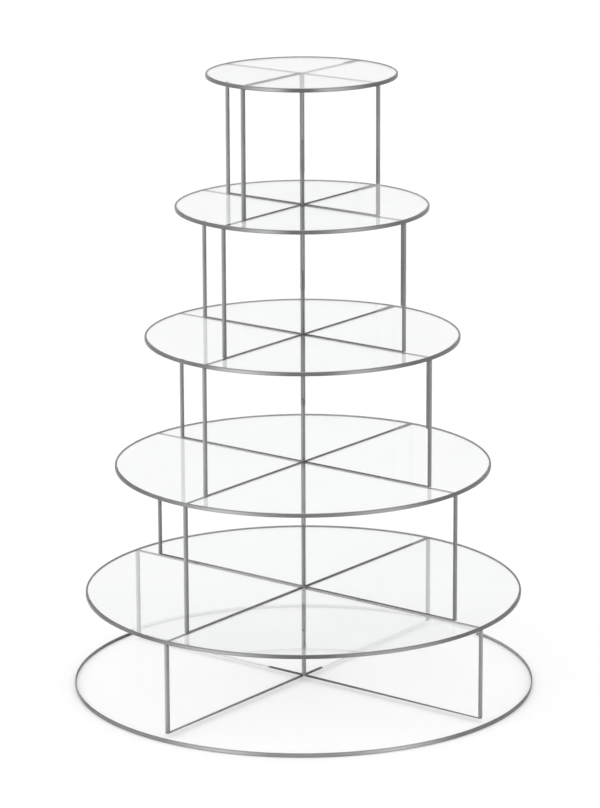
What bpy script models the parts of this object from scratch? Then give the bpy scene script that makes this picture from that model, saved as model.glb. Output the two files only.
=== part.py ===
"""Round cupcake tower of clear acrylic sheet.

Six flat discs stand one above the other on one axis. Between each two discs a divider
holds them apart: two upright panels that cross at a right angle. Each panel has a slot to
half its height, so that one slides down over the other. Nothing is glued or screwed.

Metres, +Z up, origin at the centre of the base disc's underside. The panels run along X and Y.
"""

import math

import bpy

# Driving dimensions
SHEET_THICKNESS = 0.003
BASE_DIAMETER = 0.370
LOWEST_TIER_DIAMETER = 0.350
TIER_STEP = 0.050  # each tier disc is this much smaller than the one under it
TIER_COUNT = 5
FOOT_PANEL_HEIGHT = 0.072  # the divider that stands on the base disc
PANEL_HEIGHT = 0.101  # each of the dividers above it
CLEARANCE = 0.0003  # air between two pieces that rest on or in one another
EASED_EDGE = 0.0003  # the chamfer that takes the sharpness off a cut edge

# Slots
SLOT_WIDTH = SHEET_THICKNESS + 2 * CLEARANCE
OVERCUT = 0.001  # how far a slot's cutter reaches past the panel's edge
OPEN_AT_TOP = 1
OPEN_AT_BOTTOM = -1

# Round outlines and shading
DISC_SIDES = 128
SHARP_ANGLE = math.radians(30)
ALONG_X = 0.0
ALONG_Y = math.pi / 2

# A colourless sheet, a little cooler where it is looked at flat
DISC_COLOUR = (0.93, 0.95, 0.96, 1.0)
PANEL_COLOUR = (0.95, 0.96, 0.97, 1.0)
POLISHED_ROUGHNESS = 0.03
ACRYLIC_IOR = 1.49


def clear_scene():
    for old_object in list(bpy.data.objects):
        bpy.data.objects.remove(old_object, do_unlink=True)


def new_collection(name):
    collection = bpy.data.collections.new(name)
    bpy.context.scene.collection.children.link(collection)
    return collection


def move_to(collection, thing):
    for holder in list(thing.users_collection):
        holder.objects.unlink(thing)
    collection.objects.link(thing)


def clear_acrylic(name, colour):
    """Polished sheet that lets the light through."""
    material = bpy.data.materials.new(name)
    material.use_nodes = True
    shader = material.node_tree.nodes["Principled BSDF"]
    shader.inputs["Base Color"].default_value = colour
    shader.inputs["Metallic"].default_value = 0.0
    shader.inputs["Roughness"].default_value = POLISHED_ROUGHNESS
    shader.inputs["IOR"].default_value = ACRYLIC_IOR
    shader.inputs["Transmission Weight"].default_value = 1.0
    return material


def ease_edges(thing):
    """Chamfers every cut edge a little, as a file or a flame does."""
    bevel = thing.modifiers.new("eased_edges", "BEVEL")
    bevel.width = EASED_EDGE
    bevel.segments = 1
    bevel.limit_method = "ANGLE"
    bevel.angle_limit = SHARP_ANGLE


def add_box(name, size, centre):
    bpy.ops.mesh.primitive_cube_add(size=1, location=centre)
    box = bpy.context.object
    box.name = name
    box.scale = size
    bpy.ops.object.transform_apply(location=False, rotation=False, scale=True)
    return box


def add_disc(name, diameter, underside):
    """A flat round disc that lies with its underside at the given height."""
    bpy.ops.mesh.primitive_cylinder_add(
        vertices=DISC_SIDES,
        radius=diameter / 2,
        depth=SHEET_THICKNESS,
        location=(0, 0, underside + SHEET_THICKNESS / 2),
    )
    disc = bpy.context.object
    disc.name = name
    disc.data.shade_smooth()
    disc.data.set_sharp_from_angle(angle=SHARP_ANGLE)
    disc.data.materials.append(clear_acrylic(name + "_acrylic", DISC_COLOUR))
    ease_edges(disc)
    disc.parent = tower
    move_to(pieces, disc)


def add_panel(name, length, height, foot, slot_opening, heading):
    """An upright panel, slotted at its middle to just past half its height.

    foot is the height of its lower edge, and heading the angle it is turned to about Z.
    """
    middle = foot + height / 2
    panel = add_box(name, (length, SHEET_THICKNESS, height), (0, 0, middle))

    slot_depth = height / 2 + CLEARANCE / 2
    cutter_height = slot_depth + OVERCUT
    cutter_end = height / 2 + OVERCUT
    cutter_centre = middle + slot_opening * (cutter_end - cutter_height / 2)
    cutter = add_box(
        name + "_slot",
        (SLOT_WIDTH, 2 * SHEET_THICKNESS, cutter_height),
        (0, 0, cutter_centre),
    )
    cutter.display_type = "WIRE"
    cutter.hide_render = True

    slot = panel.modifiers.new("slot", "BOOLEAN")
    slot.operation = "DIFFERENCE"
    slot.object = cutter
    ease_edges(panel)

    panel.data.materials.append(clear_acrylic(name + "_acrylic", PANEL_COLOUR))
    for thing, collection in ((panel, pieces), (cutter, cutters)):
        thing.rotation_euler.z = heading
        thing.parent = tower
        move_to(collection, thing)


clear_scene()
pieces = new_collection("cupcake_tower")
cutters = new_collection("cutters")
tower = bpy.data.objects.new("tower", None)
pieces.objects.link(tower)

add_disc("base_disc", BASE_DIAMETER, 0.0)

# From the base up: divider 1 stands on the base disc and carries disc 1, and so on.
top_surface = SHEET_THICKNESS
for tier in range(1, TIER_COUNT + 1):
    diameter = LOWEST_TIER_DIAMETER - (tier - 1) * TIER_STEP
    height = FOOT_PANEL_HEIGHT if tier == 1 else PANEL_HEIGHT
    foot = top_surface + CLEARANCE
    add_panel(f"divider_{tier}_under", diameter, height, foot, OPEN_AT_TOP, ALONG_X)
    add_panel(f"divider_{tier}_over", diameter, height, foot, OPEN_AT_BOTTOM, ALONG_Y)

    underside = foot + height + CLEARANCE
    add_disc(f"disc_{tier}", diameter, underside)
    top_surface = underside + SHEET_THICKNESS
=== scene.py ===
import math

import bmesh
import bpy
from mathutils import Matrix, Vector


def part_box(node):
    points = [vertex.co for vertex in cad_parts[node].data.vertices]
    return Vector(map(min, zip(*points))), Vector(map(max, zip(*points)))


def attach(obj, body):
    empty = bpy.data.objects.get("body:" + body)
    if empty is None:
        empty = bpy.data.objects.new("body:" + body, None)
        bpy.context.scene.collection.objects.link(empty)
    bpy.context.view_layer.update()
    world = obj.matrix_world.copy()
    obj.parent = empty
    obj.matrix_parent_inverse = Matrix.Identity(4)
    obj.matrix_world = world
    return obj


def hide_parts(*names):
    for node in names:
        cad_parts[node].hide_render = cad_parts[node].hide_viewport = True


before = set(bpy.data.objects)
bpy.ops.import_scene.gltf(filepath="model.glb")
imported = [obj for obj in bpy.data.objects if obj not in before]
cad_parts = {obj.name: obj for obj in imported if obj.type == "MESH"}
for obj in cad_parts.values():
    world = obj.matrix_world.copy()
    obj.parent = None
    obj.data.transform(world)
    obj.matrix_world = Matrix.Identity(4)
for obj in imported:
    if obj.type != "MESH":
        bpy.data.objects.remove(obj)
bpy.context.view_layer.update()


# Base disc
# A round plate of clear acrylic sheet, 370 mm across, that lies flat on the table. It is cut
# from 3 mm sheet, and its rim is rounded over by flame polishing. The cut rim is painted grey
# as shade, with painted highlights.

ACRYLIC_IOR = 1.49
SHEET_THICKNESS = 0.003
RIM_SIDES = 256
RIM_ROUNDING = 0.0006
RIM_ROUNDING_STEPS = 3
RING_START = 0.0003  # a painted grey ring of shade is inset this wide, and then widened
RING_STEP = 5  # degrees of a ring that are widened together
LAST_TURN = 179.9  # the back belongs to the last step
SHARP_ANGLE = math.radians(35)
FLAT = 0.999  # the share of its normal that a flat face has on its own axis
TOUCHING = 1e-5  # places nearer to each other than this count as the same
ON_LOOP = 2e-5
SHEET, EDGE, END, BACK, BESIDE_END = range(5)  # material slots of the plates and panels

CLEAR_TINT = (0.955, 0.960, 0.963, 1.0)
HAZY_TINT = (0.938, 0.944, 0.948, 1.0)
# Painted shade and painted light of the grey cut edges
EDGE_PAINTED_SHADE = (0.045, 0.046, 0.048, 1.0)
EDGE_PAINTED_LIGHT = (0.62, 0.625, 0.63, 1.0)
EDGE_SHADE = (0.80, 0.81, 0.82, 1.0)
CLEAR_SHADE = (0.96, 0.96, 0.96, 1.0)
FRONT_TURN = 37.5  # degrees from -Y to the way the tower's front faces, between two panels
FRONT = math.radians(FRONT_TURN - 90)


def pick(kind, wanted):
    """Selects only the vertices, edges or faces of the open piece that wanted() accepts."""
    bpy.ops.mesh.select_mode(type=kind)
    bpy.ops.mesh.select_all(action="DESELECT")
    shape = bmesh.from_edit_mesh(bpy.context.object.data)
    for part in {"VERT": shape.verts, "EDGE": shape.edges, "FACE": shape.faces}[kind]:
        if wanted(part):
            part.select_set(True)
    bmesh.update_edit_mesh(bpy.context.object.data)


def give_slot(slot):
    """Gives the selected faces one of the piece's material slots."""
    bpy.context.object.active_material_index = slot
    bpy.ops.object.material_slot_assign()


def start_piece(name, materials):
    """Names the new primitive, gives it its materials and opens it for editing."""
    piece = bpy.context.object
    piece.name = name
    piece.data.name = name
    for material in materials:
        piece.data.materials.append(material)
    bpy.ops.object.transform_apply(location=True, rotation=True, scale=True)
    bpy.ops.object.mode_set(mode="EDIT")
    return piece


def finish_piece(piece, lit, node):
    """Shades the piece, notes how lit each edge is painted, and sets it in the place of its node.

    lit(place, normal, centre) is the painted light, from 0 to 1, at one corner of a face.
    """
    bpy.ops.object.mode_set(mode="OBJECT")
    bpy.ops.object.shade_smooth_by_angle(angle=SHARP_ANGLE, keep_sharp_edges=True)
    light = piece.data.attributes.new("lit", "FLOAT", "CORNER")
    for face in piece.data.polygons:
        for corner in face.loop_indices:
            place = piece.data.vertices[piece.data.loops[corner].vertex_index].co
            light.data[corner].value = lit(place, face.normal, face.center)
    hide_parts(node)
    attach(piece, "root")


def new_group(name, inputs, outputs):
    """A shader node group with named sockets. Each input is (name, socket type, value)."""
    group = bpy.data.node_groups.new(name, "ShaderNodeTree")
    for label, kind, value in inputs:
        socket = group.interface.new_socket(label, in_out="INPUT", socket_type=kind)
        if value is not None:
            socket.default_value = value
    for label, kind in outputs:
        group.interface.new_socket(label, in_out="OUTPUT", socket_type=kind)
    start = group.nodes.new("NodeGroupInput")
    end = group.nodes.new("NodeGroupOutput")
    return group, start, end


def feed(tree, socket, value):
    """Links an output socket to an input, or sets the input to a plain value."""
    if isinstance(value, bpy.types.NodeSocket):
        tree.links.new(value, socket)
    else:
        socket.default_value = value


def math_node(tree, operation, first, second):
    """A Math node on two sockets or values."""
    node = tree.nodes.new("ShaderNodeMath")
    node.operation = operation
    feed(tree, node.inputs[0], first)
    feed(tree, node.inputs[1], second)
    return node.outputs[0]


def range_node(tree, value, low, high, to_low=0.0, to_high=1.0):
    """A Map Range node, eased at both ends."""
    node = tree.nodes.new("ShaderNodeMapRange")
    node.interpolation_type = "SMOOTHSTEP"
    feed(tree, node.inputs["Value"], value)
    node.inputs["From Min"].default_value = low
    node.inputs["From Max"].default_value = high
    node.inputs["To Min"].default_value = to_low
    node.inputs["To Max"].default_value = to_high
    return node.outputs["Result"]


def noise_node(tree, vector, scale, detail=2.0):
    """A Noise Texture node that is about 0.5 on average."""
    node = tree.nodes.new("ShaderNodeTexNoise")
    feed(tree, node.inputs["Vector"], vector)
    node.inputs["Scale"].default_value = scale
    node.inputs["Detail"].default_value = detail
    return node.outputs["Fac"]


def colour_mix(tree, share, first, second):
    """The first colour where share is 0, and the second where it is 1."""
    node = tree.nodes.new("ShaderNodeMix")
    node.data_type = "RGBA"
    feed(tree, node.inputs["Factor"], share)
    feed(tree, node.inputs[6], first)
    feed(tree, node.inputs[7], second)
    return node.outputs[2]


def stretched(tree, vector, scale, turn):
    """A Mapping node that scales a pattern, and turns it about Z."""
    node = tree.nodes.new("ShaderNodeMapping")
    feed(tree, node.inputs["Vector"], vector)
    node.inputs["Scale"].default_value = scale
    node.inputs["Rotation"].default_value = (0.0, 0.0, turn)
    return node.outputs["Vector"]


# Wiped sheet: a faint haze in clouds, hairlines left by the cloth, and a slow ripple
CLOUD_SCALE = 9.0
CLOUD_RANGE = (0.42, 0.72)
HAIRLINE_STRETCH = (900, 14, 60)
HAIRLINE_TURN = 0.5
HAIRLINE_RANGE = (0.74, 0.80)
HAIRLINE_ROUGHNESS = 0.12
RIPPLE_SCALE = 16.0
wiped_sheet, start, end = new_group(
    "wiped_sheet",
    [
        ("Vector", "NodeSocketVector", None),
        ("Clear", "NodeSocketColor", CLEAR_TINT),
        ("Hazy", "NodeSocketColor", HAZY_TINT),
    ],
    [("Tint", "NodeSocketColor"), ("Roughness", "NodeSocketFloat"), ("Height", "NodeSocketFloat")],
)
where = start.outputs["Vector"]
clouds = range_node(wiped_sheet, noise_node(wiped_sheet, where, CLOUD_SCALE, 3.0), *CLOUD_RANGE)
tint = colour_mix(wiped_sheet, clouds, start.outputs["Clear"], start.outputs["Hazy"])
streaks = stretched(wiped_sheet, where, HAIRLINE_STRETCH, HAIRLINE_TURN)
hairs = noise_node(wiped_sheet, streaks, 1.0, 1.0)
rough = range_node(wiped_sheet, hairs, *HAIRLINE_RANGE, 0.0, HAIRLINE_ROUGHNESS)
wiped_sheet.links.new(tint, end.inputs["Tint"])
wiped_sheet.links.new(rough, end.inputs["Roughness"])
wiped_sheet.links.new(noise_node(wiped_sheet, where, RIPPLE_SCALE, 1.0), end.inputs["Height"])

# Cut edge: painted grey as shade, with painted highlights where Lit is high, random blotches
# and the fine marks of the cutter. Each range is (from low, from high, to low, to high).
BLOTCH_SCALE = 22.0
BLOTCH_RANGE = (0.3, 0.7, -0.03, 0.05)
MARK_SCALE = 1800.0
MARK_RANGE = (0.35, 0.7, -0.02, 0.03)
MARK_ROUGHNESS = (0.3, 0.7, 0.22, 0.38)
cut_edge, start, end = new_group(
    "cut_edge",
    [
        ("Vector", "NodeSocketVector", None),
        ("Lit", "NodeSocketFloat", 0.0),
        ("Grey", "NodeSocketColor", EDGE_PAINTED_SHADE),
        ("Light", "NodeSocketColor", EDGE_PAINTED_LIGHT),
    ],
    [("Colour", "NodeSocketColor"), ("Roughness", "NodeSocketFloat"), ("Height", "NodeSocketFloat")],
)
where = start.outputs["Vector"]
blotches = range_node(cut_edge, noise_node(cut_edge, where, BLOTCH_SCALE, 3.0), *BLOTCH_RANGE)
marks = noise_node(cut_edge, where, MARK_SCALE, 2.0)
share = math_node(cut_edge, "ADD", start.outputs["Lit"], blotches)
share = math_node(cut_edge, "ADD", share, range_node(cut_edge, marks, *MARK_RANGE))
share = math_node(cut_edge, "MINIMUM", math_node(cut_edge, "MAXIMUM", share, 0.0), 1.0)
edge_tone = colour_mix(cut_edge, share, start.outputs["Grey"], start.outputs["Light"])
cut_edge.links.new(edge_tone, end.inputs["Colour"])
cut_edge.links.new(range_node(cut_edge, marks, *MARK_ROUGHNESS), end.inputs["Roughness"])
cut_edge.links.new(marks, end.inputs["Height"])


def group_node(tree, group, **values):
    """Places a group in a material and feeds its inputs."""
    node = tree.nodes.new("ShaderNodeGroup")
    node.node_tree = group
    for label, value in values.items():
        feed(tree, node.inputs[label], value)
    return node


def bump(tree, shader, height, strength, distance):
    """Makes a material's surface look raised where the height from 0 to 1 is large."""
    node = tree.nodes.new("ShaderNodeBump")
    node.inputs["Strength"].default_value = strength
    node.inputs["Distance"].default_value = distance
    tree.links.new(height, node.inputs["Height"])
    tree.links.new(node.outputs["Normal"], shader.inputs["Normal"])


def new_material(name):
    """A material, its node tree, its Principled shader and the place on its piece."""
    material = bpy.data.materials.new(name)
    material.use_nodes = True
    tree = material.node_tree
    shader = tree.nodes["Principled BSDF"]
    place = tree.nodes.new("ShaderNodeTexCoord").outputs["Object"]
    return material, tree, shader, place


def swapped_where(tree, surface, share, other):
    """Takes the other surface in place of the first one where share is 1."""
    choice = tree.nodes.new("ShaderNodeMixShader")
    tree.links.new(share, choice.inputs["Fac"])
    tree.links.new(surface, choice.inputs[1])
    tree.links.new(other, choice.inputs[2])
    return choice.outputs[0]


def open_air(tree, tint=(1.0, 1.0, 1.0, 1.0)):
    """A surface that lets everything straight through."""
    node = tree.nodes.new("ShaderNodeBsdfTransparent")
    node.inputs["Color"].default_value = tint
    return node.outputs[0]


RIPPLE_STRENGTH = 0.15
RIPPLE_HEIGHT = 0.0002
MARK_STRENGTH = 0.2
MARK_HEIGHT = 0.0001


def sheet_face(name, clear, hazy, shade, index=ACRYLIC_IOR):
    """Clear sheet. Light that makes shadows and lights the table passes straight through.

    clear and hazy are its tints, shade what it leaves of the light that makes shadows, and
    index how much it bends what is seen through it.
    """
    material, tree, shader, place = new_material(name)
    face = group_node(tree, wiped_sheet, Vector=place, Clear=clear, Hazy=hazy)
    tree.links.new(face.outputs["Tint"], shader.inputs["Base Color"])
    tree.links.new(face.outputs["Roughness"], shader.inputs["Roughness"])
    bump(tree, shader, face.outputs["Height"], RIPPLE_STRENGTH, RIPPLE_HEIGHT)
    shader.inputs["IOR"].default_value = index
    shader.inputs["Transmission Weight"].default_value = 1.0

    ray = tree.nodes.new("ShaderNodeLightPath")
    passing = math_node(tree, "MAXIMUM", ray.outputs["Is Shadow Ray"], ray.outputs["Is Diffuse Ray"])
    surface = swapped_where(tree, shader.outputs[0], passing, open_air(tree, shade))
    tree.links.new(surface, tree.nodes["Material Output"].inputs["Surface"])
    return material


def edge_face(name, inside=None, mirrored=True):
    """A cut edge painted grey as shade, with painted highlights. Most light that makes shadows
    passes.

    From inside the sheet it looks grey too, or it is clear: inside is "air" where the view
    goes straight on, and "glass" where it bends. An edge that isn't mirrored is left out of
    what the gloss of another piece shows.
    """
    material, tree, shader, place = new_material(name)
    lit = tree.nodes.new("ShaderNodeAttribute")
    lit.attribute_name = "lit"
    face = group_node(tree, cut_edge, Vector=place, Lit=lit.outputs["Fac"])
    tree.links.new(face.outputs["Colour"], shader.inputs["Base Color"])
    tree.links.new(face.outputs["Roughness"], shader.inputs["Roughness"])
    bump(tree, shader, face.outputs["Height"], MARK_STRENGTH, MARK_HEIGHT)
    shader.inputs["IOR"].default_value = ACRYLIC_IOR
    surface = shader.outputs[0]
    ray = tree.nodes.new("ShaderNodeLightPath")
    if inside:
        clear = open_air(tree)
        if inside == "glass":
            glass = tree.nodes.new("ShaderNodeBsdfGlass")
            glass.inputs["Roughness"].default_value = 0.0
            glass.inputs["IOR"].default_value = ACRYLIC_IOR
            clear = glass.outputs[0]
        from_inside = tree.nodes.new("ShaderNodeNewGeometry").outputs["Backfacing"]
        surface = swapped_where(tree, surface, from_inside, clear)
    if not mirrored:
        surface = swapped_where(tree, surface, ray.outputs["Glossy Depth"], open_air(tree))
    shadow = open_air(tree, CLEAR_SHADE if inside else EDGE_SHADE)
    surface = swapped_where(tree, surface, ray.outputs["Is Shadow Ray"], shadow)
    tree.links.new(surface, tree.nodes["Material Output"].inputs["Surface"])
    return material


def hump(value, low, peak, high, strength=1.0):
    """Rises from low to peak, where it has its strength, and falls to high, eased."""
    if not low < value < high:
        return 0.0
    share = (value - low) / (peak - low) if value < peak else (high - value) / (high - peak)
    return strength * share * share * (3 - 2 * share)


def turn_from_front(place):
    """Degrees round the plate from the tower's front, to the right of it and back."""
    turn = math.degrees(math.atan2(place.y, place.x) - FRONT)
    return (turn + 180) % 360 - 180


# How lit every rim is painted, in arcs (start, peak, end, strength) with degrees from the front.
# The side and back arcs count both ways round, and each rim has its own side strength.
RIM_LIGHT = 0.10
RIM_ARCS = (
    (-70, -45, -20, 0.04),
    (20, 55, 80, -0.03),
    (-95, -72, -55, -0.06),
    (55, 76, 98, -0.10),
)
BACK_ARC = (95, 180, 265, -0.08)
SIDE_ARC = (70, 100, 130)
# Painted highlights at the back of every rim, and painted light on the front of each top ring
BACK_GLEAMS = ((100, 122, 140, 0.30), (-175, -155, -140, 0.25))
TOP_ARC = (-75, 0, 75, 0.45)
UNDERSIDE_LIGHT = 0.05


def rim_light(arcs, side_light, rounding_light, seat_light, middle, flat_half):
    """How lit a rim is painted: in arcs round its front, most in a band at half its thickness.

    arcs are this rim's own. side_light is the strength of the arc at each side, and
    rounding_light the share of an arc's light that shows on the rounded parts of the rim.
    seat_light is how lit the seat on the underside is on the left of the front.
    """

    def lit(place, normal, centre):
        turn = turn_from_front(place)
        if normal.z < -FLAT:
            front_seat = abs(place.x) < SHEET_THICKNESS and place.y < 0
            return seat_light if front_seat else UNDERSIDE_LIGHT
        if normal.z > FLAT:
            return hump(turn, *TOP_ARC)
        light = RIM_LIGHT + hump(abs(turn), *BACK_ARC) + hump(abs(turn), *SIDE_ARC, side_light)
        light += sum(hump(turn, *arc) for arc in RIM_ARCS)
        gleam = sum(hump(turn, *arc) for arc in BACK_GLEAMS + arcs)
        if abs(place.z - middle) > flat_half + TOUCHING:
            gleam *= rounding_light
        return min(max(light + gleam, 0.0), 1.0)

    return lit


def width_at(ring, turn):
    """The width of a ring at a turn, straight between the widths that its list gives."""
    for (start, first), (end, last) in zip(ring, ring[1:]):
        if start <= turn <= end:
            return first + (last - first) * (turn - start) / (end - start)


# A plate's grey rings and seats are painted shade, and its lights are painted highlights.
def add_plate(name, node, sheet, rings, lights, clear_left=-180, clear_right=180, seats=()):
    """A round plate in the place of a node, with its rim rounded over.

    rings are the grey rings on its top and its underside, each a list of (degrees from the
    front, width), and lights are the first four values of rim_light. Further back than
    clear_left and clear_right the rim is clear from inside, and the underside has no ring.
    seats are the grey strips of the underside where a panel's edge bears: (axis, start, end,
    half width), with the start and the end as shares of the radius. The plate is made with
    its front at -Y and then turned to the tower's front.
    """
    low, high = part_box(node)
    thickness = high[2] - low[2]
    middle = (low[2] + high[2]) / 2
    radius = (high[0] - low[0]) / 2
    flat_radius = radius - RIM_ROUNDING
    bpy.ops.object.select_all(action="DESELECT")
    bpy.ops.mesh.primitive_cylinder_add(
        vertices=RIM_SIDES, radius=radius, depth=thickness, location=(0, 0, middle)
    )
    plate = start_piece(name, [sheet, rim, clear_rim])
    pick("EDGE", lambda edge: abs(edge.verts[0].co.z - edge.verts[1].co.z) < TOUCHING)
    bpy.ops.mesh.bevel(
        offset=RIM_ROUNDING, segments=RIM_ROUNDING_STEPS, profile=0.5, affect="EDGES"
    )

    for side, ring in zip((1, -1), rings):
        pick("FACE", lambda face: face.normal.z * side > FLAT)
        bpy.ops.mesh.inset(thickness=RING_START)
        inner = flat_radius - RING_START
        for step in range(0, 180, RING_STEP):

            def in_step(vert):
                turn = min(abs(math.degrees(math.atan2(vert.co.x, -vert.co.y))), LAST_TURN)
                on_loop = abs(math.hypot(vert.co.x, vert.co.y) - inner) < ON_LOOP
                on_side = vert.co.z * side > middle * side
                return on_loop and on_side and step <= turn < step + RING_STEP

            pick("VERT", in_step)
            size = (flat_radius - width_at(ring, step + RING_STEP / 2)) / inner
            bpy.ops.transform.resize(value=(size, size, 1), center_override=(0, 0, middle))

    pick("FACE", lambda face: len(face.verts) < RIM_SIDES)
    give_slot(EDGE)
    pick("FACE", lambda face: len(face.verts) == RIM_SIDES)
    bpy.ops.mesh.region_to_loop()
    bpy.ops.mesh.mark_sharp()
    bpy.ops.object.mode_set(mode="OBJECT")
    plate.rotation_euler.z = FRONT + math.pi / 2
    bpy.ops.object.transform_apply(location=True, rotation=True, scale=True)
    bpy.ops.object.mode_set(mode="EDIT")

    def at_the_back(face):
        turn = turn_from_front(face.calc_center_median())
        return len(face.verts) < RIM_SIDES and (turn < clear_left or turn > clear_right)

    pick("FACE", lambda face: abs(face.normal.z) < FLAT and at_the_back(face))
    give_slot(END)
    pick("FACE", lambda face: face.normal.z < -FLAT and at_the_back(face))
    give_slot(SHEET)
    for axis, start, end, half_width in seats:
        along = Vector((0, 0, 0))
        along[axis] = 1.0
        across = Vector((along.y, along.x, 0))
        for place, normal in (
            (-across * half_width, across),
            (across * half_width, across),
            (along * start * radius, along),
            (along * end * radius, along),
        ):
            pick("FACE", lambda face: face.normal.z < -FLAT and face.material_index == SHEET)
            bpy.ops.mesh.bisect(plane_co=place, plane_no=normal)

        def on_the_seat(face):
            place = face.calc_center_median()
            under = face.normal.z < -FLAT and abs(place[1 - axis]) < half_width
            return under and start * radius < place[axis] < end * radius

        pick("FACE", on_the_seat)
        give_slot(EDGE)
    lit = rim_light(*lights, middle, thickness / 2 - RIM_ROUNDING)
    finish_piece(plate, lit, node)


BASE_TINT = (1.0, 1.0, 1.0, 1.0)
BASE_HAZE = (0.996, 0.997, 0.997, 1.0)
BASE_SHADE = (0.999, 0.999, 0.999, 1.0)
BASE_INDEX = 1.02  # it lies on the white table and shows no gleam
# The plates' cut rims are painted grey as shade, with painted highlights.
rim = edge_face("plate_rim")
clear_rim = edge_face("clear_rim", "air")
base_sheet = sheet_face("base_sheet", BASE_TINT, BASE_HAZE, BASE_SHADE, BASE_INDEX)
# The base rim's own painted highlights, as arcs of rim_light.
BASE_ARCS = (
    (-38, -19, -6, 0.45),
    (4, 22, 42, 0.45),
    (-14, 0, 14, 0.10),
    (-110, -5, 110, 0.14),
)
# The base's painted grey rings of shade, on its top and its underside.
BASE_SHADE_RINGS = (
    ((0, 0.0010), (30, 0.0010), (55, 0.0007), (80, 0.0002), (180, 0.0002)),
    ((0, 0.0008), (40, 0.0016), (60, 0.0016), (75, 0.0012), (90, 0.0004), (180, 0.0004)),
)
BASE_SIDE_LIGHT = 0.25
BASE_ROUNDING_LIGHT = 0.60
BASE_LIGHTS = (BASE_ARCS, BASE_SIDE_LIGHT, BASE_ROUNDING_LIGHT, 0.0)
BASE_CLEAR = (-130, 128)  # degrees from the front
add_plate("base_plate", "base_disc", base_sheet, BASE_SHADE_RINGS, BASE_LIGHTS, *BASE_CLEAR)


# Tier discs
# Five round plates of the same sheet, 350 mm across at the bottom and 50 mm less at each
# tier. Each only rests on the crossed panels under it and carries those of the next tier.

TIERS = 5
# Each tier's own painted highlights on its rim, as arcs of rim_light.
TIER_ARCS = (
    ((-46, -22, -3, 0.48), (2, 22, 46, 0.34), (-128, -108, -80, 0.12), (-170, -150, -138, 0.25)),
    ((-46, -24, 0, 0.52), (0, 24, 48, 0.36)),
    ((-42, -22, -2, 0.53), (5, 20, 46, 0.39)),
    ((-38, -16, -3, 0.43), (2, 22, 50, 0.37)),
    ((-44, -18, -3, 0.52), (3, 16, 50, 0.42)),
)
TOP_SHADE_RINGS = (  # width of the painted grey ring of shade at the front, at 130 degrees and at the back
    (0.00125, 0.0003, 0.0003),
    (0.0014, 0.0003, 0.0004),
    (0.0016, 0.0007, 0.0009),
    (0.0019, 0.0014, 0.0018),
    (0.0024, 0.0040, 0.0044),
)
# The painted grey ring of shade on each tier's underside.
UNDER_SHADE_RING = (
    (0, 0.0012),
    (40, 0.0024),
    (60, 0.0025),
    (75, 0.0023),
    (90, 0.0009),
    (110, 0.0015),
    (130, 0.0023),
    (150, 0.0029),
    (180, 0.0034),
)
TIER_STEP = 0.025  # each tier's panels end this much further in than the plate under them
ROUNDING_LIGHT = 0.40
SEAT_LIGHT = 0.15
NARROW = 0.0002  # the width of the top's painted grey ring of shade at the sides
SEAT_HALF = 0.0015  # half the width of a seat painted grey as shade
FAR_SEAT_HALF = 0.0020  # the same past the end of the next tier's panel, at the back
FAR_SEAT_GROWTH = 0.0004  # what each tier adds to it
SIDE_SEAT_HALF = 0.0005  # the same past that end, on the right
# The top tier's seats, painted grey as shade.
TOP_SEATS = ((1, -1.0, 0.0, 0.0025), (1, 0.75, 1.0, 0.0026))
TIER_SHADE = (0.998, 0.998, 0.998, 1.0)
polished_sheet = sheet_face("polished_sheet", CLEAR_TINT, HAZY_TINT, TIER_SHADE)
for tier in range(1, TIERS + 1):
    front, side, back = TOP_SHADE_RINGS[tier - 1]
    top_ring = (
        (0, front),
        (30, front),
        (55, 0.5 * front),
        (80, NARROW),
        (100, NARROW),
        (130, side),
        (150, back),
        (180, back),
    )
    seats = TOP_SEATS
    if tier < TIERS:
        plate_low, plate_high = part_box(f"disc_{tier}")
        next_end = 1 - TIER_STEP / plate_high.x
        seats = (
            (1, -1.0, next_end, SEAT_HALF),
            (1, next_end, 1.0, FAR_SEAT_HALF + FAR_SEAT_GROWTH * tier),
            (0, next_end, 1.0, SIDE_SEAT_HALF),
        )
    add_plate(
        f"tier_plate_{tier}",
        f"disc_{tier}",
        polished_sheet,
        (top_ring, UNDER_SHADE_RING),
        (TIER_ARCS[tier - 1], 0.0, ROUNDING_LIGHT, SEAT_LIGHT if tier < TIERS else 0.0),
        seats=seats,
    )


# Crossed panels
# Each divider is two upright panels of clear sheet that slot over each other at half their
# height. The lower panel's slot is open at the top, the upper one's at the bottom.

SLOT_WIDTH = 0.0036
END_ROUNDING = 0.0004
END_ROUNDING_STEPS = 3
LONG_ROUNDING = 0.0003
LONG_ROUNDING_STEPS = 2
SEAT = 0.00028  # the panel goes this far past its node, and so rests on the plate
BACK_BAND = 0.0019  # the width of the painted grey of shade along the far end of a panel's back
SQUARE_CORNER = math.radians(60)
LEVEL = math.radians(1)
MOST = 0.5  # shares of its normal that a face has on an axis: over half, little, nearly all
SLIGHT = 0.05
NEARLY_ALL = 0.9


# A panel's grey bands are painted shade, and its lit values painted light.
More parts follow.
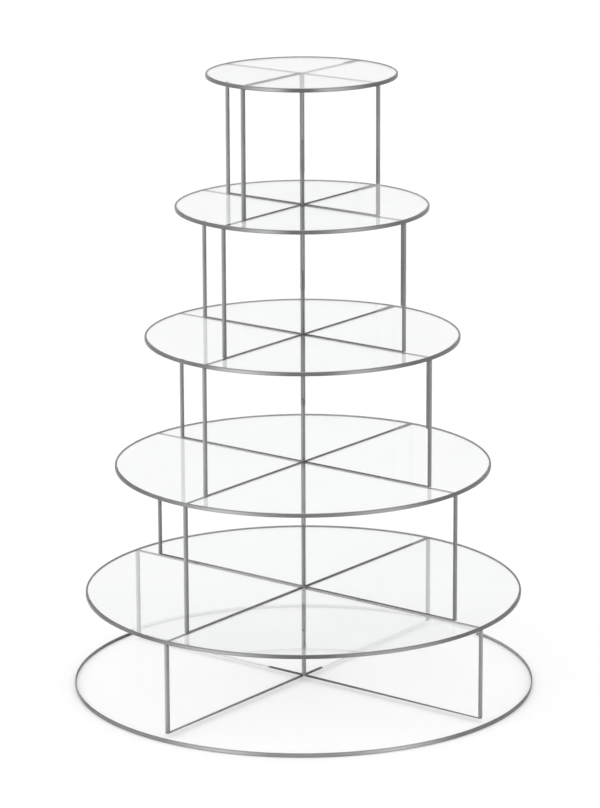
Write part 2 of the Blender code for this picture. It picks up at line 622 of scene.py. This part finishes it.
def add_panel(name, node, along, slot_top, grey, lit, edges):
    """An upright panel in the place of a node, with a slot from the top or the bottom.

    along is the axis that it runs on. grey says how far in from the cut edges each broad
    face looks grey: at the near end and the far end of its axis, at the foot, at the top and
    beside the slot. From behind, it looks grey along its whole foot and both its ends. edges
    are the materials of its cut edges, of the edges that are clear from inside, of the grey
    on its back and of the clear strip beside a clear end.
    """
    low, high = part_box(node)
    low.z -= SEAT
    high.z += SEAT
    size = high - low
    middle = (low + high) / 2
    across = 1 - along
    reach = size[along] / 2
    near_top = low.z + size.z * grey["near_climb"]
    far_step = low.z + size.z * grey["far_step"]
    bpy.ops.object.select_all(action="DESELECT")
    bpy.ops.mesh.primitive_cube_add(size=1, location=middle, scale=size)
    panel = start_piece(name, [panel_sheet, *edges])
    axis = Vector((0, 0, 0))
    axis[along] = 1.0
    up = Vector((0, 0, 1))

    def cut(place, normal):
        bpy.ops.mesh.select_all(action="SELECT")
        bpy.ops.mesh.bisect(plane_co=place, plane_no=normal)

    cut(-axis * SLOT_WIDTH / 2, axis)
    cut(axis * SLOT_WIDTH / 2, axis)
    cut(up * middle.z, up)

    def beside_slot(place, width):
        beyond = place.z > middle.z if slot_top else place.z < middle.z
        return beyond and abs(place[along]) < width

    mouth = high.z if slot_top else low.z
    pick("FACE", lambda face: beside_slot(face.calc_center_median(), SLOT_WIDTH / 2))
    bpy.ops.mesh.delete(type="FACE")
    pick(
        "EDGE",
        lambda edge: edge.is_boundary and any(abs(v.co.z - mouth) > TOUCHING for v in edge.verts),
    )
    bpy.ops.mesh.bridge_edge_loops()
    bpy.ops.mesh.select_all(action="SELECT")
    bpy.ops.mesh.dissolve_limited(angle_limit=LEVEL)
    bpy.ops.mesh.select_all(action="SELECT")
    bpy.ops.mesh.normals_make_consistent(inside=False)

    def end_corner(edge):
        upright = abs(edge.verts[0].co.z - edge.verts[1].co.z) > size.z / 2
        return upright and all(abs(abs(v.co[along]) - reach) < TOUCHING for v in edge.verts)

    pick("EDGE", end_corner)
    bpy.ops.mesh.bevel(
        offset=END_ROUNDING, segments=END_ROUNDING_STEPS, profile=0.5, affect="EDGES"
    )
    pick("EDGE", lambda edge: edge.calc_face_angle() > SQUARE_CORNER)
    bpy.ops.mesh.bevel(
        offset=LONG_ROUNDING, segments=LONG_ROUNDING_STEPS, profile=0.5, affect="EDGES"
    )

    def broad(face):
        return abs(face.normal[across]) > FLAT

    pick("FACE", broad)
    bpy.ops.mesh.region_to_loop()
    bpy.ops.mesh.mark_sharp()

    for place in (
        grey["near"] - reach,
        grey["foot_start"] * reach,
        grey["foot_stop"] * reach,
        -(SLOT_WIDTH / 2 + grey["slot"]),
        SLOT_WIDTH / 2 + grey["slot"],
        reach - grey["far_high"],
        reach - grey["far_low"],
        reach - BACK_BAND,
    ):
        cut(axis * place, axis)
    for place in (high.z - grey["top"], near_top, far_step):
        cut(up * place, up)
    for side in (-1, 1):
        slope = side * grey["foot_taper"] / reach
        pick("FACE", lambda face: face.calc_center_median()[along] * side > 0)
        bpy.ops.mesh.bisect(plane_co=up * (low.z + grey["foot"]), plane_no=up + axis * slope)

    def at_an_end(face):
        place = face.calc_center_median()
        far = grey["far_high"] if place.z > far_step else grey["far_low"]
        if abs(face.normal[along]) > MOST or place[along] > reach - far:
            return True
        if beside_slot(place, SLOT_WIDTH / 2 + grey["slot"]):
            return True
        return place.z < near_top and place[along] < grey["near"] - reach

    def to_the_back(face):
        return face.normal.y if along == 0 else -face.normal.x

    def on_foot(place):
        return grey["foot_start"] * reach < place[along] < grey["foot_stop"] * reach

    def clear(face):
        place = face.calc_center_median()
        if at_an_end(face):
            return False
        if not broad(face):
            foot_rounding = place.z < low.z + LONG_ROUNDING and face.normal.z > -FLAT
            end_rounding = to_the_back(face) < -NEARLY_ALL and clear_inside(face)
            return end_rounding or (foot_rounding and not on_foot(place))
        foot = low.z + (grey["foot"] if on_foot(place) else 0)
        return foot < place.z < high.z - grey["top"]

    def clear_inside(face):
        place = face.calc_center_median()
        if grey["far_clear"] and face.normal[along] > SLIGHT and place[along] > reach / 2:
            return True
        if place.z > near_top and face.normal[along] < -SLIGHT and place[along] < -reach / 2:
            return True
        return face.normal.z < -FLAT and not on_foot(place)

    def behind(face):
        place = face.calc_center_median()
        banded = place.z < low.z + grey["foot"] or place[along] < grey["near"] - reach
        banded = banded or place[along] > reach - BACK_BAND
        return to_the_back(face) > FLAT and clear(face) and banded

    def beside_clear_end(face):
        beside = grey["far_clear"] and face.calc_center_median()[along] > reach - BACK_BAND
        return beside and to_the_back(face) < -NEARLY_ALL and clear(face)

    pick("FACE", behind)
    give_slot(BACK)
    pick("FACE", beside_clear_end)
    give_slot(BESIDE_END)
    pick("FACE", lambda face: not clear(face))
    give_slot(EDGE)
    pick("FACE", lambda face: clear_inside(face) and not clear(face))
    give_slot(END)
    finish_piece(panel, lambda *spot: lit(*spot, low, high, grey), node)


PANEL_TINT = (0.997, 0.998, 0.998, 1.0)
PANEL_HAZE = (0.992, 0.993, 0.994, 1.0)
PANEL_SHADE = (0.988, 0.988, 0.988, 1.0)
STRIP_TINT = (1.0, 1.0, 1.0, 1.0)
STRIP_HAZE = (0.998, 0.998, 0.998, 1.0)
STRIP_INDEX = 1.001  # the strip beside a clear end doesn't bend what is seen through it
panel_sheet = sheet_face("panel_sheet", PANEL_TINT, PANEL_HAZE, PANEL_SHADE)
beside_end = sheet_face("beside_end", STRIP_TINT, STRIP_HAZE, PANEL_SHADE, STRIP_INDEX)
# The panels' cut edges and grey bands are painted grey as shade, with painted highlights.
panel_edge = edge_face("panel_edge")
panel_end = edge_face("panel_end", "air")
panel_back = edge_face("panel_back", "glass")
quiet_edge = edge_face("quiet_edge", mirrored=False)
quiet_end = edge_face("quiet_end", "air", mirrored=False)
quiet_back = edge_face("quiet_back", "glass", mirrored=False)
panel_edges = (panel_edge, panel_end, panel_back, beside_end)
quiet_edges = (quiet_edge, quiet_end, quiet_back, beside_end)


# How lit the panels are painted. A streak is a painted highlight, a hump (start, peak, end,
# strength) in metres: on X panels from the left end inwards, and on Y panels across the sheet.
END_ZONE = 0.006  # how far in from an end its light reaches
MIDDLE_ZONE = 0.004
UNDER_NEAR_LIGHT = 0.17
UNDER_STREAK = (-0.0044, 0.0, 0.0032, 0.30)
UNDER_FAR_LIGHT = 0.14
UNDER_FAR_EDGE_LIGHT = 0.26
EDGE_ON = 0.3
OVER_NEAR_LIGHT = 0.16
OVER_STREAK = (-0.0034, -0.0015, 0.0016, 0.32)
OVER_FAR_LIGHT = 0.20
MIDDLE_LEFT_LIGHT = 0.24
MIDDLE_RIGHT_LIGHT = 0.15


def above_step(centre, low, high, grey):
    """Whether a face is above the height at which the far end and the middle change."""
    return centre.z > low.z + grey["far_step"] * (high.z - low.z)


def middle_light(place, centre, along, low, high, grey):
    """How lit the faces beside the slot are painted."""
    light = MIDDLE_LEFT_LIGHT if place[along] < 0 else MIDDLE_RIGHT_LIGHT
    if above_step(centre, low, high, grey):
        light += grey["middle_top_light"]
    return light + grey["light"] + grey["middle_light"]


def under_light(place, normal, centre, low, high, grey):
    """How lit a panel that runs on X is painted. Its left end is painted lighter towards the end."""
    light = grey["light"]
    if abs(normal.z) > MOST:
        return grey["line_light"]
    if place.x < low.x + END_ZONE:
        light += UNDER_NEAR_LIGHT + grey["near_light"]
        return light + hump(place.x - low.x, *UNDER_STREAK)
    if place.x > high.x - END_ZONE:
        if not above_step(centre, low, high, grey):
            light += grey["far_low_light"]
        return light + (UNDER_FAR_EDGE_LIGHT if normal.x > EDGE_ON else UNDER_FAR_LIGHT)
    if abs(centre.x) < MIDDLE_ZONE:
        return middle_light(place, centre, 0, low, high, grey)
    return grey["line_light"]


def over_light(place, normal, centre, low, high, grey):
    """How lit a panel that runs on Y is painted. Its near end is painted lighter on its left."""
    light = grey["light"]
    if abs(normal.z) > MOST:
        return grey["line_light"]
    if place.y < low.y + END_ZONE:
        return light + OVER_NEAR_LIGHT + hump(place.x, *OVER_STREAK)
    if place.y > high.y - END_ZONE:
        return light + OVER_FAR_LIGHT + grey["far_low_light"]
    if abs(centre.y) < MIDDLE_ZONE:
        return middle_light(place, centre, 1, low, high, grey)
    return grey["line_light"]


# The painted grey of shade and the painted light of each panel, as add_panel and the lights
# above read it. Widths are in metres, near_climb and far_step shares of the panel's height,
# foot_start and foot_stop shares of its reach, and lights from 0 to 1.
UNDER_GREY = {
    "near": 0.0029,
    "near_climb": 0.999,
    "far_low": 0.0020,
    "far_high": 0.0020,
    "far_step": 0.5,
    "far_clear": False,
    "foot": 0.00045,
    "foot_taper": 0.0,
    "foot_start": -0.999,
    "foot_stop": 0.999,
    "top": 0.0005,
    "slot": 0.0006,
    "light": 0.0,
    "line_light": 0.02,
    "far_low_light": 0.0,
    "middle_light": 0.07,
    "middle_top_light": 0.0,
    "near_light": 0.0,
}
OVER_GREY = UNDER_GREY | {
    "near": 0.0019,
    "far_low": 0.0001,
    "far_high": 0.0001,
    "foot": 0.00035,
    "top": 0.0003,
    "line_light": 0.06,
}
UNDER_GREYS = (
    UNDER_GREY
    | {
        "near": 0.0034,
        "near_light": 0.25,
        "foot": 0.0014,
        "foot_taper": 0.0009,
        "foot_start": -0.21,
        "top": 0.0008,
        "far_step": 0.81,
        "light": 0.12,
        "line_light": 0.07,
        "middle_light": 0.14,
        "middle_top_light": 0.50,
    },
    UNDER_GREY | {"near_climb": 0.47, "near_light": -0.12, "foot": 0.0008, "line_light": 0.14},
    UNDER_GREY | {"near_climb": 0.625, "far_low": 0.0018, "far_high": 0.0034, "far_step": 0.46},
    UNDER_GREY | {"near_climb": 0.755, "far_low": 0.0018, "far_high": 0.0032, "far_step": 0.36},
    UNDER_GREY
    | {
        "near_climb": 0.86,
        "foot": 0.0006,
        "far_step": 0.25,
        "far_low_light": 0.32,
        "light": 0.03,
        "top": 0.0006,
    },
)
OVER_GREYS = (
    OVER_GREY
    | {
        "near": 0.0026,
        "far_low": 0.0042,
        "far_high": 0.0042,
        "far_low_light": 0.25,
        "foot": 0.0016,
        "foot_taper": 0.0006,
        "foot_stop": 0.143,
        "far_step": 0.34,
        "light": 0.12,
        "line_light": 0.11,
        "middle_light": 0.10,
        "middle_top_light": 0.30,
    },
    OVER_GREY
    | {
        "near": 0.0023,
        "foot": 0.0005,
        "light": 0.03,
        "line_light": 0.12,
        "far_clear": True,
    },
    OVER_GREY | {"light": 0.07, "far_clear": True},
    OVER_GREY | {"far_clear": True},
    OVER_GREY | {"near": 0.0022, "top": 0.0008, "far_clear": True},
)
for tier in range(1, TIERS + 1):
    add_panel(
        f"crossed_panel_{tier}_under",
        f"divider_{tier}_under",
        0,
        True,
        UNDER_GREYS[tier - 1],
        under_light,
        quiet_edges if tier == 2 else panel_edges,
    )
    add_panel(
        f"crossed_panel_{tier}_over",
        f"divider_{tier}_over",
        1,
        False,
        OVER_GREYS[tier - 1],
        over_light,
        panel_edges,
    )


# Floor
# A plain table top in matt white, on which the base disc only rests. It runs on past the
# picture on every side.

FLOOR_REACH = 60.0
FLOOR_DROP = 0.0003  # the table top is this far under the base disc
FLOOR_WHITE = (0.872, 0.872, 0.872, 1.0)
FLOOR_SHADE = (0.868, 0.868, 0.868, 1.0)
FLOOR_GRAIN_SCALE = 3.0
FLOOR_GRAIN_RANGE = (0.3, 0.7)
FLOOR_ROUGHNESS = 0.9
bpy.ops.object.select_all(action="DESELECT")
bpy.ops.mesh.primitive_plane_add(size=FLOOR_REACH, location=(0, 0, -FLOOR_DROP))
floor = bpy.context.object
floor.name = "floor"
floor_white, tree, shader, place = new_material("floor_white")
grain = range_node(tree, noise_node(tree, place, FLOOR_GRAIN_SCALE), *FLOOR_GRAIN_RANGE)
tree.links.new(colour_mix(tree, grain, FLOOR_WHITE, FLOOR_SHADE), shader.inputs["Base Color"])
shader.inputs["Roughness"].default_value = FLOOR_ROUGHNESS
shader.inputs["Specular IOR Level"].default_value = 0.0
floor.data.materials.append(floor_white)


# Studio light
# Soft white light from all round, brighter low down where it meets the table, with a strong
# soft source on the left of the front, a weak one on the right and one overhead.

HORIZON = (0.90, 0.90, 0.90, 1.0)
ZENITH = (0.60, 0.60, 0.60, 1.0)
HORIZON_TOP = 0.35  # the heights between which the light fades, from 0 level to 1 overhead
ZENITH_START = 0.9
VIEW_AZIMUTH = math.radians(FRONT_TURN)
SOFT_LIGHTS = (  # (name, degrees to the camera's right, degrees up, strength, spread)
    ("left_light", -62, 35, 1.2, 60),
    ("right_light", 70, 30, 0.30, 60),
    ("top_light", 20, 80, 0.70, 90),
)

world = bpy.data.worlds.new("studio")
bpy.context.scene.world = world
world.use_nodes = True
tree = world.node_tree
sky = tree.nodes["Background"]
split = tree.nodes.new("ShaderNodeSeparateXYZ")
tree.links.new(tree.nodes.new("ShaderNodeTexCoord").outputs["Generated"], split.inputs[0])
height = range_node(tree, split.outputs["Z"], HORIZON_TOP, ZENITH_START)
tree.links.new(colour_mix(tree, height, HORIZON, ZENITH), sky.inputs["Color"])


def add_soft_light(name, turn, climb, strength, spread):
    """A broad far light that doesn't show as a gleam on the sheets or through them."""
    data = bpy.data.lights.new(name, "SUN")
    data.energy = strength
    data.angle = math.radians(spread)
    light = bpy.data.objects.new(name, data)
    bpy.context.scene.collection.objects.link(light)
    heading = VIEW_AZIMUTH + math.radians(turn)
    up = math.radians(climb)
    towards = Vector(
        (math.sin(heading) * math.cos(up), -math.cos(heading) * math.cos(up), math.sin(up))
    )
    light.rotation_euler = towards.to_track_quat("Z", "Y").to_euler()
    light.visible_glossy = False
    light.visible_transmission = False


for soft_light in SOFT_LIGHTS:
    add_soft_light(*soft_light)


# Camera
# It stands about three metres away, twice as high as the tower, and looks down at it with a
# long lens.

CAMERA_DISTANCE = 2.9145
CAMERA_SIDE = -0.0022
CAMERA_HEIGHT = 0.9967
CAMERA_PITCH = math.radians(14.731)
CAMERA_ROLL = 0.0038  # radians
CAMERA_LENS = 168.93
SENSOR = 36.0
BOUNCES = 32  # enough to see through every sheet, one behind the other
MIRROR_BOUNCES = 12
CLEAR_BOUNCES = 64

camera_data = bpy.data.cameras.new("camera")
camera_data.lens = CAMERA_LENS
camera_data.sensor_width = SENSOR
camera_data.sensor_fit = "AUTO"
camera_data.clip_start = 0.05
camera_data.clip_end = 100.0
camera = bpy.data.objects.new("camera", camera_data)
bpy.context.scene.collection.objects.link(camera)
turned = Matrix.Rotation(VIEW_AZIMUTH, 3, "Z")
camera.location = turned @ Vector((CAMERA_SIDE, -CAMERA_DISTANCE, CAMERA_HEIGHT))
tilted = Matrix.Rotation(math.pi / 2 - CAMERA_PITCH, 3, "X")
rolled = Matrix.Rotation(-CAMERA_ROLL, 3, "Z")
camera.rotation_euler = (turned @ tilted @ rolled).to_euler()

scene = bpy.context.scene
scene.camera = camera
scene.view_settings.view_transform = "Standard"
scene.cycles.max_bounces = BOUNCES
scene.cycles.transmission_bounces = BOUNCES
scene.cycles.glossy_bounces = MIRROR_BOUNCES
scene.cycles.transparent_max_bounces = CLEAR_BOUNCES
